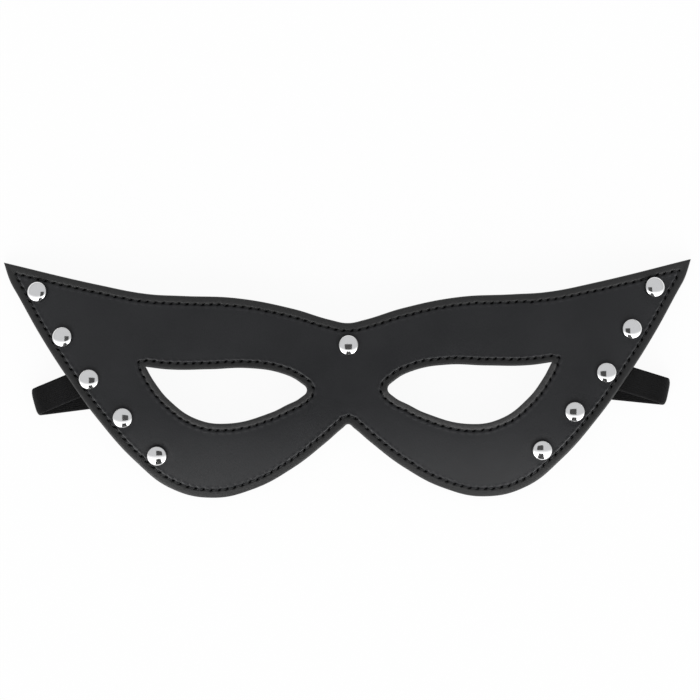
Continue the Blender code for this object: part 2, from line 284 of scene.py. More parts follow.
def slopes(x, y):
    """Rise of the leather along X and along Y, by small steps to either side."""
    along_x = back_height(x + SLOPE_STEP, y) - back_height(x - SLOPE_STEP, y)
    along_y = back_height(x, y + SLOPE_STEP) - back_height(x, y - SLOPE_STEP)
    return along_x / (2 * SLOPE_STEP), along_y / (2 * SLOPE_STEP)


def front_height(x, y):
    """Height of the front face, the leather's thickness in front of the back one."""
    along_x, along_y = slopes(x, y)
    return back_height(x, y) + LEATHER_THICKNESS * np.sqrt(1 + along_x**2 + along_y**2)


def bell(gap, width):
    """One at no gap, falling away evenly on both sides."""
    return np.exp(-((gap / width) ** 2))


def pit(across, along):
    """One at the middle of a needle hole that the thread has pulled long and a little aslant."""
    aslant = across - NEEDLE_SLANT * along
    return np.exp(-((aslant / NEEDLE_WIDTH) ** 2) - (along / NEEDLE_LENGTH) ** 4)


def shoulder(seam_gap):
    """How far the leather has risen beside a seam: a quarter circle drawn out to each side's reach."""
    reach = np.where(seam_gap < 0, SHOULDER_OUTSIDE, SHOULDER_INSIDE)
    return np.sqrt(1 - (1 - np.clip(np.abs(seam_gap) / reach, 0, 1)) ** 2)


def ease(share):
    """From nothing to one, level at both ends."""
    share = np.clip(share, 0, 1)
    return share**2 * (3 - 2 * share)


Lie = namedtuple("Lie", "edge seam across along rivet")


def lie_of(points):
    """How plan points lie: the gap to the nearest edge, the gap past the nearest seam (minus in the
    border), the way across and along that seam from its nearest needle hole, and the gap to the
    nearest rivet. No two needle holes are quite in line."""
    edge = np.min([np.abs(nearest(points, line)[0]) for line in (outline, *eye_lines)], axis=0)
    found = []
    for number, seam in enumerate((edge_seam, *eye_seams)):
        gap, share = nearest(points, seam)
        count = len(seam) // SEAM_STEPS
        turn = share * count
        hole = np.round(turn).astype(int)
        wander = np.random.default_rng(number).normal(0, HOLE_WANDER, (count, 2))[hole % count]
        found.append((gap, gap - wander[:, 0], (turn - hole) * STITCH_PITCH - wander[:, 1]))
    found = np.array(found)
    closest = np.abs(found[:, 0]).argmin(axis=0)
    gap, across, along = found[closest, :, np.arange(len(points))].T
    rivet = np.min([np.linalg.norm(points - place, axis=1) for place in rivet_places], axis=0)
    return Lie(edge, gap, across, along, rivet)


def painted_sheen(points):
    """How much painted highlight, drawn as lighter colour, the nearest border gets: none where it faces
    the lobes, and where it faces the brow the most there is for the outline, or for that eye hole."""
    found = []
    for most, line in zip(MOST_PAINTED_SHEEN, (outline, *eye_lines)):
        gap, share = nearest(points, line)
        vertex = np.round(share * len(line)).astype(int) % len(line)
        found.append((np.abs(gap), most * ease(-inward(line, 1.0)[vertex, 1] / PAINTED_SHEEN_FROM)))
    found = np.array(found)
    return found[found[:, 0].argmin(axis=0), 1, np.arange(len(points))]


def rounded(edge_gap):
    """How far the surface has dropped at a rubbed edge: a quarter circle of radius EDGE_ROUND."""
    inside = np.clip(EDGE_ROUND - edge_gap, 0, EDGE_ROUND)
    return EDGE_ROUND - np.sqrt(EDGE_ROUND**2 - inside**2)


def front_relief(lie):
    """How the front stands above a plain sheet.

    The border is a low crown, and the seam a sharp valley between two round shoulders, with a pit
    at each needle hole. Inside the seam the leather puffs up, with a pucker along every stitch, and
    it is pressed down round each rivet.
    """
    crown = np.where(lie.seam < 0, np.sin(np.pi * np.clip(lie.edge / EDGE_TO_SEAM, 0, 1)), 0)
    between = np.sin(np.pi * np.clip(np.abs(lie.along) / STITCH_PITCH, 0, 0.5))
    relief = BAND_CROWN * crown + SHOULDER_HEIGHT * (shoulder(lie.seam) - 1)
    relief -= NEEDLE_DEPTH * pit(lie.across, lie.along)
    relief += PUFF_HEIGHT * np.sqrt(ease(lie.seam / PUFF_REACH))
    relief += PUCKER_HEIGHT * between * bell(lie.seam - PUCKER_AT, PUCKER_WIDTH)
    relief -= STUD_SINK * np.exp(-((lie.rivet / STUD_SINK_RADIUS) ** 6))
    return relief - rounded(lie.edge)


def back_relief(lie):
    """How far the back is drawn in: the seam's valley, the needle holes and the rubbed edge."""
    drawn_in = SHOULDER_HEIGHT * (1 - shoulder(lie.seam)) / 2
    drawn_in += NEEDLE_DEPTH * pit(lie.across, lie.along) / 2
    return drawn_in + rounded(lie.edge)


EDGE_STEP = 0.00058
EDGE_RINGS = np.array((0.04, 0.12, 0.25, 0.45, 0.7, 1.05, 1.45)) / 1000
SEAM_RINGS = np.array((-0.95, -0.65, -0.4, -0.2, -0.07, 0, 0.07, 0.2, 0.4, 0.65, 0.95, 1.3)) / 1000
COARSE_RINGS = np.array((1.8, 2.6, 3.6)) / 1000
BACK_SEAM_RINGS = np.array((-0.4, 0, 0.4)) / 1000
COARSE_STEP = 0.0011
LATTICE_STEP = 0.0016
RIVET_RINGS = np.array((3.2, 3.7, 4.2, 4.7, 5.3, 6.0)) / 1000
RIVET_SPOKES = 40
RING_SPARE = 0.00006


def rings(curve, offsets):
    """Copies of a closed curve set off into the leather, without the points that cross a corner."""
    found = [curve + offset * inward(curve, ROUNDED_MITRE) for offset in offsets]
    return [
        ring[np.abs(nearest(ring, curve)[0]) >= abs(offset) - RING_SPARE / 2]
        for ring, offset in zip(found, offsets)
    ]


def lattice(step):
    """Points of a triangular lattice over the whole panel."""
    rows = np.arange(-PANEL_HEIGHT / 2, PANEL_HEIGHT / 2, step * math.sqrt(3) / 2)
    columns = np.arange(-HALF_WIDTH, HALF_WIDTH, step)
    x = columns[None, :] + np.where(np.arange(len(rows)) % 2, step / 2, 0)[:, None]
    return np.stack([x.ravel(), np.repeat(rows, len(columns))], axis=1)


def plan_mesh(seam_offsets, seam_step):
    """Plan points of one face of the leather and the triangles between them.

    The cut edge comes first, then rings beside it, rings beside the seams, rings round the rivets
    and a lattice over the rest, all joined by Delaunay's rule with the edge held.
    """
    borders = [even_steps(line, EDGE_STEP) for line in (outline, *eye_lines)]
    seams = [even_steps(seam, seam_step) for seam in (edge_seam, *eye_seams)]
    by_edge = np.vstack([ring for line in borders for ring in rings(line, EDGE_RINGS)])
    by_seam = np.vstack([ring for seam in seams for ring in rings(seam, seam_offsets)])
    coarse = [even_steps(seam, COARSE_STEP) for seam in (edge_seam, *eye_seams)]
    beyond = np.vstack([ring for seam in coarse for ring in rings(seam, COARSE_RINGS)])
    angles = np.linspace(0, 2 * np.pi, RIVET_SPOKES, endpoint=False)
    spokes = np.stack([np.cos(angles), np.sin(angles)], axis=1)
    by_rivet = (rivet_places[:, None, None] + RIVET_RINGS[:, None, None] * spokes).reshape(-1, 2)
    rest = lattice(LATTICE_STEP)

    inner, outer = seam_offsets.max(), seam_offsets.min()
    lie = lie_of(by_edge)
    by_edge = by_edge[(lie.edge > EDGE_RINGS[0] / 2) & (lie.seam < outer - RING_SPARE)]
    lie = lie_of(by_seam)
    by_seam = by_seam[(lie.edge > EDGE_RINGS[2]) & (np.abs(lie.seam) < inner + RING_SPARE)]
    lie = lie_of(beyond)
    beyond = beyond[(lie.seam > inner + 4 * RING_SPARE) & (lie.rivet > RIVET_RINGS.max())]
    by_rivet = by_rivet[lie_of(by_rivet).seam > inner + 4 * RING_SPARE]
    lie = lie_of(rest)
    open_middle = (lie.seam > COARSE_RINGS.max() + COARSE_STEP / 2) & (lie.edge > EDGE_TO_SEAM)
    off_rings = np.abs(lie.rivet - RIVET_RINGS.mean()) > (np.ptp(RIVET_RINGS) + COARSE_STEP) / 2
    rest = rest[open_middle & off_rings]

    edge = np.vstack(borders)
    points = np.vstack([edge, by_edge, by_seam, beyond, by_rivet, rest])
    counts = [len(border) for border in borders]
    starts = np.cumsum([0, *counts[:-1]])
    held = [
        (int(start + i), int(start + (i + 1) % count))
        for start, count in zip(starts, counts)
        for i in range(count)
    ]
    made = delaunay_2d_cdt([Vector(point) for point in points], held, [], 1, 1e-9, False)
    plan = np.array([tuple(point) for point in made[0]])
    triangles = np.array(made[2])
    outside = np.zeros(len(triangles), bool)
    for border, start, count in zip(borders, starts, counts):
        on_border = ((triangles >= start) & (triangles < start + count)).all(axis=1)
        centres = plan[triangles[on_border]].mean(axis=1)
        outside[on_border] = nearest(centres, border)[0] < 0
    return plan, triangles[~outside], starts, counts


def new_piece(name, points, faces, materials):
    """A piece of the scene from an array of points and arrays of faces of three or four corners."""
    mesh = bpy.data.meshes.new(name)
    mesh.vertices.add(len(points))
    mesh.vertices.foreach_set("co", points.astype(np.float32).ravel())
    corners = np.concatenate([part.ravel() for part in faces])
    totals = np.concatenate([np.full(len(part), part.shape[1]) for part in faces])
    mesh.loops.add(len(corners))
    mesh.loops.foreach_set("vertex_index", corners.astype(np.int32))
    mesh.polygons.add(len(totals))
    firsts = np.concatenate([[0], np.cumsum(totals)[:-1]])
    mesh.polygons.foreach_set("loop_start", firsts.astype(np.int32))
    mesh.update(calc_edges=True)
    mesh.shade_smooth()
    for material in materials:
        mesh.materials.append(material)
    piece = bpy.data.objects.new(name, mesh)
    bpy.context.scene.collection.objects.link(piece)
    return piece


def label(piece, name, values):
    """Write one number, or one vector, for each vertex, for the material to read."""
    kind = "FLOAT" if values.ndim == 1 else "FLOAT_VECTOR"
    attribute = piece.data.attributes.new(name, kind, "POINT")
    key = "value" if values.ndim == 1 else "vector"
    attribute.data.foreach_set(key, values.astype(np.float32).ravel())


def node(tree, kind, inputs=(), **settings):
    """Add a shader node: settings are its own properties, inputs its sockets' values or wires."""
    made = tree.nodes.new(kind)
    for name, value in settings.items():
        setattr(made, name, value)
    for name, value in dict(inputs).items():
        if isinstance(value, bpy.types.NodeSocket):
            tree.links.new(value, made.inputs[name])
        else:
            made.inputs[name].default_value = value
    return made


def new_material(name, **values):
    """A material with a Principled shader, with the values of the sockets that stay the same."""
    material = bpy.data.materials.new(name)
    material.use_nodes = True
    shader = material.node_tree.nodes["Principled BSDF"]
    for socket, value in values.items():
        shader.inputs[socket.replace("_", " ")].default_value = value
    return material, material.node_tree, shader


def blended(tree, factor, low, high):
    """A colour between two others, each given as three numbers or as a wire."""
    mix = node(tree, "ShaderNodeMix", {"Factor": factor}, data_type="RGBA")
    for key, value in (("A", low), ("B", high)):
        socket = next(s for s in mix.inputs if s.name == key and s.type == "RGBA")
        if isinstance(value, bpy.types.NodeSocket):
            tree.links.new(value, socket)
        else:
            socket.default_value = (*value, 1)
    return next(s for s in mix.outputs if s.type == "RGBA")


def ranged(tree, value, low, high, to_low, to_high):
    """A value carried from one range to another and held inside it."""
    return node(
        tree,
        "ShaderNodeMapRange",
        {"Value": value, "From Min": low, "From Max": high, "To Min": to_low, "To Max": to_high},
    ).outputs["Result"]


def bump(tree, height, distance, strength, beneath=None):
    """Raise a surface's shading by a height of nothing to one times a distance in metres."""
    made = node(tree, "ShaderNodeBump", {"Height": height, "Distance": distance, "Strength": strength})
    if beneath:
        tree.links.new(beneath, made.inputs["Normal"])
    return made.outputs["Normal"]


def smooth_leather():
    """Black grain leather: fine creased cells and faint broad clouds of colour and gloss.

    The border was creased with a hot iron, so it is a little duller and less blue, and where it faces
    the brow it carries a painted highlight, drawn lighter in flecks.
    """
    material, tree, shader = new_material("smooth_leather", IOR=1.5)
    place = node(tree, "ShaderNodeTexCoord").outputs["Object"]
    clouds = node(tree, "ShaderNodeTexNoise", {"Vector": place, "Scale": 45.0, "Detail": 3.0})
    cells = node(
        tree,
        "ShaderNodeTexVoronoi",
        {"Vector": place, "Scale": 1500.0, "Smoothness": 0.6},
        feature="SMOOTH_F1",
    )
    pores = node(tree, "ShaderNodeTexNoise", {"Vector": place, "Scale": 3200.0, "Detail": 2.0})
    border = node(tree, "ShaderNodeAttribute", attribute_name="border").outputs["Fac"]
    holes = node(tree, "ShaderNodeAttribute", attribute_name="pit_shade").outputs["Fac"]
    cloudy = ranged(tree, clouds.outputs["Fac"], 0.35, 0.65, 0, 1)
    grain = blended(tree, cloudy, (0.0012, 0.0016, 0.0029), (0.0032, 0.0036, 0.0051))
    # Painted highlight: where a border faces the brow it is drawn lighter, in flecks; rubbed, pressed
    # and ironed carry it.
    rubbed = node(tree, "ShaderNodeAttribute", attribute_name="painted_sheen").outputs["Fac"]
    flecks = node(tree, "ShaderNodeTexNoise", {"Vector": place, "Scale": 900.0, "Detail": 2.0})
    uneven = ranged(tree, flecks.outputs["Fac"], 0.3, 0.7, 0.5, 1.3)
    flecked_sheen = node(tree, "ShaderNodeMath", {0: rubbed, 1: uneven}, operation="MULTIPLY")
    pressed = blended(tree, flecked_sheen.outputs[0], (0.0030, 0.0031, 0.0032), (0.0300, 0.0295, 0.0295))
    ironed = blended(tree, border, grain, pressed)
    # Painted shade: in the needle holes the leather is drawn near black.
    tree.links.new(blended(tree, holes, ironed, (0.0005, 0.0005, 0.0006)), shader.inputs["Base Color"])
    inside = ranged(tree, clouds.outputs["Fac"], 0.3, 0.7, 0.47, 0.55)
    rough = node(tree, "ShaderNodeMath", {0: border, 1: 0.02, 2: inside}, operation="MULTIPLY_ADD")
    tree.links.new(rough.outputs[0], shader.inputs["Roughness"])
    # Painted shade: the needle holes also lose their gloss.
    gloss = ranged(tree, holes, 0, 0.8, 0.5, 0.02)
    tree.links.new(gloss, shader.inputs["Specular IOR Level"])
    creased = bump(tree, cells.outputs["Distance"], 0.00004, 0.5)
    tree.links.new(bump(tree, pores.outputs["Fac"], 0.00002, 0.4, creased), shader.inputs["Normal"])
    return material


def flesh_side():
    """The back of the leather: dyed through, matt, with a short felted nap."""
    material, tree, shader = new_material("flesh_side", Roughness=0.92, IOR=1.4)
    place = node(tree, "ShaderNodeTexCoord").outputs["Object"]
    nap = node(tree, "ShaderNodeTexNoise", {"Vector": place, "Scale": 900.0, "Detail": 6.0})
    clouds = node(tree, "ShaderNodeTexNoise", {"Vector": place, "Scale": 60.0, "Detail": 4.0})
    cloudy = ranged(tree, clouds.outputs["Fac"], 0.3, 0.7, 0, 1)
    tint = blended(tree, cloudy, (0.020, 0.019, 0.019), (0.036, 0.034, 0.033))
    tree.links.new(tint, shader.inputs["Base Color"])
    tree.links.new(bump(tree, nap.outputs["Fac"], 0.00012, 0.7), shader.inputs["Normal"])
    return material


def rubbed_edge():
    """The cut edge: blackened and rubbed until it shines, with faint lines along the layers."""
    material, tree, shader = new_material("rubbed_edge", IOR=1.5)
    place = node(tree, "ShaderNodeTexCoord").outputs["Object"]
    turned_on = node(tree, "ShaderNodeMapping", {"Vector": place, "Scale": (1.0, 1.0, 6.0)})
    fibres = node(
        tree,
        "ShaderNodeTexNoise",
        {"Vector": turned_on.outputs["Vector"], "Scale": 700.0, "Detail": 3.0},
    )
    tint = blended(tree, fibres.outputs["Fac"], (0.008, 0.008, 0.009), (0.016, 0.016, 0.017))
    tree.links.new(tint, shader.inputs["Base Color"])
    rough = ranged(tree, fibres.outputs["Fac"], 0.3, 0.7, 0.35, 0.55)
    tree.links.new(rough, shader.inputs["Roughness"])
    tree.links.new(bump(tree, fibres.outputs["Fac"], 0.00005, 0.4), shader.inputs["Normal"])
    return material


def leather_panel():
    """The front and the back face, each with its own triangles, joined by a wall round every edge."""
    front_plan, front_faces, starts, counts = plan_mesh(SEAM_RINGS, STITCH_PITCH / SEAM_STEPS)
    back_plan, back_faces, _, _ = plan_mesh(BACK_SEAM_RINGS, 2 * STITCH_PITCH / SEAM_STEPS)
    front_lie, back_lie = lie_of(front_plan), lie_of(back_plan)
    front_lie.edge[: sum(counts)] = 0
    back_lie.edge[: sum(counts)] = 0
    front_z = front_height(*front_plan.T) + front_relief(front_lie)
    back_z = back_height(*back_plan.T) + back_relief(back_lie)
    front = np.column_stack([front_plan, front_z])
    back = np.column_stack([back_plan, back_z])
    walls = []
    for start, count in zip(starts, counts):
        upper = start + np.arange(count)
        onward = start + (np.arange(count) + 1) % count
        lower = len(front)
        walls.append(np.stack([onward, upper, lower + upper, lower + onward], axis=1))
    wall = np.vstack(walls)
    faces = [front_faces, back_faces[:, ::-1] + len(front), wall]
    materials = [smooth_leather(), flesh_side(), rubbed_edge()]
    piece = new_piece("leather_panel", np.vstack([front, back]), faces, materials)
    kinds = np.repeat(np.arange(3), [len(part) for part in faces])
    piece.data.polygons.foreach_set("material_index", kinds.astype(np.int32))
    both = Lie(*(np.concatenate(pair) for pair in zip(front_lie, back_lie)))
    label(piece, "border", 1 - ease(both.seam / BORDER_FADE + 1))
    # The needle holes, where the material paints shade.
    label(piece, "pit_shade", pit(both.across, both.along))
    # A painted highlight on the borders that face the brow.
    label(piece, "painted_sheen", painted_sheen(np.vstack([front_plan, back_plan])))
    return piece


panel = leather_panel()
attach(panel, "root")
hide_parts("mask_panel")


# The stitching: bonded black thread in a plain locked seam. Each stitch comes up out of one needle
# hole, lies in the valley and goes down the next, a little aslant, on the front and on the back.
THREAD_RADIUS = 0.00023
STITCH_SLANT = 0.00012
STITCH_STATIONS = 8
THREAD_SIDES = 8
THREAD_DIVE = 0.00075
THREAD_STAND = 0.00002


def skinned(name, grid, material):
    """Closed skins over a grid of points, for many copies at once.

    The grid's axes are copy, station along, side round and the three coordinates. Its sides wrap
    round, and a face closes each end.
    """
    copies, stations, sides, _ = grid.shape
    index = np.arange(copies * stations * sides).reshape(copies, stations, sides)
    beside = np.roll(index, -1, axis=2)
    quads = [index[:, :-1], beside[:, :-1], beside[:, 1:], index[:, 1:]]
    ends = [index[:, 0, ::-1], index[:, -1]]
    faces = [np.stack(quads, axis=-1).reshape(-1, 4), *ends]
    return new_piece(name, grid.reshape(-1, 3), faces, [material])


def along(seam, place):
    """Points and left-hand directions on a closed seam at places counted in its own steps."""
    low = np.floor(place).astype(int)
    share = (place - low)[..., None]
    here, there = seam[low % len(seam)], seam[(low + 1) % len(seam)]
    ahead = there - here
    ahead = ahead / np.linalg.norm(ahead, axis=-1, keepdims=True)
    return here + share * (there - here), np.stack([-ahead[..., 1], ahead[..., 0]], axis=-1)


def stitch_grid(seam, up):
    """The stitches of one seam on one face, as a grid of points.

    Each is a round thread whose middle line goes from hole to hole, crosses the seam by the slant
    and rises by a flattened arch. Up is plus one on the front and minus one on the back.
    """
    count = len(seam) // SEAM_STEPS
    share = np.linspace(0, 1, STITCH_STATIONS)
    place = (np.arange(count)[:, None] + share) * SEAM_STEPS
    middle, left = along(seam, place)
    middle = middle + (STITCH_SLANT * (2 * share - 1))[:, None] * left
    arch = 1 - np.abs(2 * share - 1) ** 3
    surface = front_height if up > 0 else back_height
    sink = SHOULDER_HEIGHT - THREAD_RADIUS if up > 0 else SHOULDER_HEIGHT / 2
    depth = sink - THREAD_STAND + THREAD_DIVE * (1 - arch)
    level = surface(middle[..., 0], middle[..., 1]) - up * depth
    turn = np.linspace(0, 2 * np.pi, THREAD_SIDES, endpoint=False)
    radius = THREAD_RADIUS * (0.75 + 0.25 * arch)[:, None]
    sideways = (radius * np.cos(turn))[..., None]
    rise = up * radius * np.sin(turn)
    plan = middle[:, :, None] + sideways * left[:, :, None]
    return np.concatenate([plan, (level[..., None] + rise)[..., None]], axis=-1)


def waxed_thread():
    """Bonded polyester thread: nearly black, matt, with its twist as fine slanting ridges."""
    material, tree, shader = new_material("waxed_thread", Roughness=0.5, IOR=1.45)
    place = node(tree, "ShaderNodeTexCoord").outputs["Object"]
    twist = node(
        tree,
        "ShaderNodeTexWave",
        {"Vector": place, "Scale": 900.0, "Distortion": 2.0, "Detail": 1.0},
        bands_direction="DIAGONAL",
    )
    tint = blended(tree, twist.outputs["Fac"], (0.0035, 0.0035, 0.004), (0.009, 0.009, 0.010))
    tree.links.new(tint, shader.inputs["Base Color"])
    tree.links.new(bump(tree, twist.outputs["Fac"], 0.00005, 0.6), shader.inputs["Normal"])
    return material


thread = waxed_thread()
for name, seam in zip(("edge", "left_eye", "right_eye"), (edge_seam, *eye_seams)):
    both = np.concatenate([stitch_grid(seam, 1), stitch_grid(seam, -1)[:, :, ::-1]])
    stitching = skinned(f"{name}_stitching", both, thread)
    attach(stitching, "root")


# The studs: pressed and chromed brass caps, each with a plain dome, a short straight side and a
# rim rolled under against the leather. They are closed over the rivets' posts.
CAP_RADIUS = 0.0037
CAP_CLEARANCE = 0.0003
CAP_HEIGHT = 0.0021
CAP_SIDE_HEIGHT = 0.0003
CAP_ROLL = 0.00022
CAP_SINK = 0.00012
CAP_SEGMENTS = 96
DOME_STEPS = 36
ROLL_STEPS = 8
APEX_RADIUS = 0.00002


def rivet_grid(place, askew, profile, segments):
    """A profile of radius and height spun round a rivet's axis, which is square to the leather but
    for some degrees askew, plus towards the right tip."""
    x, y = place
    slope_x, slope_y = (float(value) for value in slopes(x, y))
    upright = Vector((math.tan(math.radians(askew)) - slope_x, -slope_y, 1)).to_track_quat("Z", "Y")
    turn = np.linspace(0, 2 * np.pi, segments, endpoint=False)
    radius, height = profile.T[:, :, None]
    ring = np.stack([radius * np.cos(turn), radius * np.sin(turn), height + 0 * turn], axis=-1)
    centre = np.array((x, y, float(front_height(x, y))))
    return (ring @ np.array(upright.to_matrix()).T + centre)[None]


def cap_profile():
    """From the middle of the underside out, round the rolled rim, up the side and over the dome.

    The dome is a quarter ellipse and the roll three quarters of a small circle.
    """
    low, side = CAP_CLEARANCE - CAP_SINK, CAP_CLEARANCE + CAP_SIDE_HEIGHT
    turn = np.linspace(-0.75, 0.0, ROLL_STEPS) * np.pi
    roll_radius = CAP_RADIUS - CAP_ROLL + CAP_ROLL * np.cos(turn)
    roll_height = low + CAP_ROLL + CAP_ROLL * np.sin(turn)
    turn = np.linspace(0, 0.5, DOME_STEPS) * np.pi
    dome_radius = np.maximum(CAP_RADIUS * np.cos(turn), APEX_RADIUS)
    dome_height = side + (CAP_HEIGHT - CAP_SIDE_HEIGHT) * np.sin(turn)
    radius = np.concatenate([[APEX_RADIUS, 0.5 * CAP_RADIUS], roll_radius, dome_radius])
    height = np.concatenate([[low + CAP_ROLL] * 2, roll_height, dome_height])
    return np.stack([radius, height], axis=1)


def bright_chrome():
    """Bright plating: nearly a mirror, with faint polishing haze and a few fine rubs."""
    material, tree, shader = new_material("bright_chrome", Metallic=1.0)
    place = node(tree, "ShaderNodeTexCoord").outputs["Object"]
    haze = node(tree, "ShaderNodeTexNoise", {"Vector": place, "Scale": 600.0, "Detail": 3.0})
    tint = blended(tree, haze.outputs["Fac"], (0.82, 0.82, 0.825), (0.87, 0.87, 0.87))
    tree.links.new(tint, shader.inputs["Base Color"])
    rough = ranged(tree, haze.outputs["Fac"], 0.35, 0.7, 0.08, 0.13)
    tree.links.new(rough, shader.inputs["Roughness"])
    waves = node(tree, "ShaderNodeTexNoise", {"Vector": place, "Scale": 260.0, "Detail": 1.0})
    tree.links.new(bump(tree, waves.outputs["Fac"], 0.00003, 0.25), shader.inputs["Normal"])
    return material


chrome = bright_chrome()
for rivet, place in zip(RIVETS, rivet_places):
    grid = rivet_grid(place, rivet.askew, cap_profile(), CAP_SEGMENTS)
    cap = skinned(f"domed_cap_{rivet.name}", grid, chrome)
    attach(cap, "root")
    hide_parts(f"stud_cap_{rivet.name}")


# The rivets' backs: plain nickelled steel, a disc with a softened edge and a shallow dish round the
# foot of its post. Two of them bear on the strap instead of the leather.
STRAP_THICKNESS = 0.0010
BACK_RADIUS = 0.0034
BACK_THICKNESS = 0.0010
BACK_ROUND = 0.0004
BACK_ROUND_STEPS = 7
DISH_DEPTH = 0.00025
DISH_SPAN = 0.8
DISH_STEPS = 14
POST_RADIUS = 0.0010
POST_TOP = 0.0012


def back_profile(holds_strap):
    """From the top of the post down to the disc, round its softened edge and over its dished back."""
    face = -LEATHER_THICKNESS - CAP_CLEARANCE
    if holds_strap:
        face -= STRAP_THICKNESS + CAP_CLEARANCE
    bottom = face - BACK_THICKNESS
    turn = np.linspace(0, -0.5, BACK_ROUND_STEPS) * np.pi
    edge_radius = BACK_RADIUS - BACK_ROUND + BACK_ROUND * np.cos(turn)
    edge_height = bottom + BACK_ROUND + BACK_ROUND * np.sin(turn)
    share = np.linspace(1, 0, DISH_STEPS)[1:]
    dish_radius = np.maximum(share * (BACK_RADIUS - BACK_ROUND), APEX_RADIUS)
    dish_height = bottom + DISH_DEPTH * (1 - np.cos(2 * np.pi * np.clip(share / DISH_SPAN, 0, 1))) / 2
    post_radius = [APEX_RADIUS, POST_RADIUS, POST_RADIUS, BACK_RADIUS]
    post_height = [POST_TOP, POST_TOP, face, face]
    radius = np.concatenate([post_radius, edge_radius, dish_radius])
    height = np.concatenate([post_height, edge_height, dish_height])
    return np.stack([radius, height], axis=1)[::-1]


def nickelled_steel():
    """Satin steel with fine tumbling marks."""
    material, tree, shader = new_material("nickelled_steel", Metallic=1.0)
    place = node(tree, "ShaderNodeTexCoord").outputs["Object"]
    marks = node(tree, "ShaderNodeTexNoise", {"Vector": place, "Scale": 1800.0, "Detail": 4.0})
    tint = blended(tree, marks.outputs["Fac"], (0.42, 0.42, 0.42), (0.56, 0.55, 0.53))
    tree.links.new(tint, shader.inputs["Base Color"])
    rough = ranged(tree, marks.outputs["Fac"], 0.3, 0.7, 0.24, 0.42)
    tree.links.new(rough, shader.inputs["Roughness"])
    tree.links.new(bump(tree, marks.outputs["Fac"], 0.00003, 0.3), shader.inputs["Normal"])
    return material


steel = nickelled_steel()
for rivet, place in zip(RIVETS, rivet_places):
    grid = rivet_grid(place, 0, back_profile(rivet.holds_strap), CAP_SEGMENTS // 2)
    back = skinned(f"dished_back_{rivet.name}", grid, steel)
    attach(back, "root")
    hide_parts(f"rivet_back_{rivet.name}")


# The strap: flat black elastic, woven with rubber cords running its length. Each end is riveted
# behind a wing, comes out past the edge, folds back under itself and goes on behind the cheek and
# the nose, lying flat on the table.
StrapEnd = namedtuple("StrapEnd", "side rivet reach front_slope rear_slope")
STRAP_ENDS = (
    StrapEnd(-1, "left_3", 1.04, 22.2, 7.0),
    StrapEnd(1, "right_3", 1.13, 17.4, 6.1),
)
HIDDEN_ROUTE = (
    (0.680, -0.071),
    (0.618, -0.103),
    (0.554, -0.170),
    (0.474, -0.234),
    (0.372, -0.272),
    (0.256, -0.247),
    (0.136, -0.157),
    (0.000, -0.119),
)
STRAP_WIDTH = 0.0096
STRAP_TAIL = 0.0080
STRAP_REACH = 0.0213
STRAP_REAR_LENGTH = 0.0180
STRAP_UNDER_PANEL = 0.0100
FOLD_RADIUS = 0.0023
FOLD_CORNER = 0.0008
FOLD_SQUARENESS = 5
STRAP_STEP = 0.0008
ROUTE_STEP = 0.0030
CORDS = 12
CORD_STEPS = 6
CORD_RELIEF = 0.00005
SELVEDGE = 0.0004
SELVEDGE_STEPS = 9
PICK_PITCH = 0.0006


def smooth_path(points, step):
    """Even steps along a smooth curve through plan points, each with its direction.

    From point to point the curve is the cubic that leaves and arrives at the rates of change that
    the neighbours give. The first and last points only set the direction of the ends.
    """
    points = np.array(points)
    chords = np.linalg.norm(np.diff(points, axis=0), axis=1)
    at = np.concatenate([[0], np.cumsum(chords)])
    rates = np.gradient(points, at, axis=0, edge_order=2)
    count = max(2, round((at[-2] - at[1]) / step))
    stations = np.linspace(at[1], at[-2], count + 1)[1:-1]
    span = np.searchsorted(at, stations, side="right") - 1
    t = ((stations - at[span]) / chords[span])[:, None]
    length = chords[span][:, None]
    start, end = points[span], points[span + 1]
    leave, arrive = rates[span] * length, rates[span + 1] * length
    path = (2 * t**3 - 3 * t**2 + 1) * start + (t**3 - 2 * t**2 + t) * leave
    path += (3 * t**2 - 2 * t**3) * end + (t**3 - t**2) * arrive
    heading = np.gradient(path, axis=0)
    return path, heading / np.linalg.norm(heading, axis=1, keepdims=True)


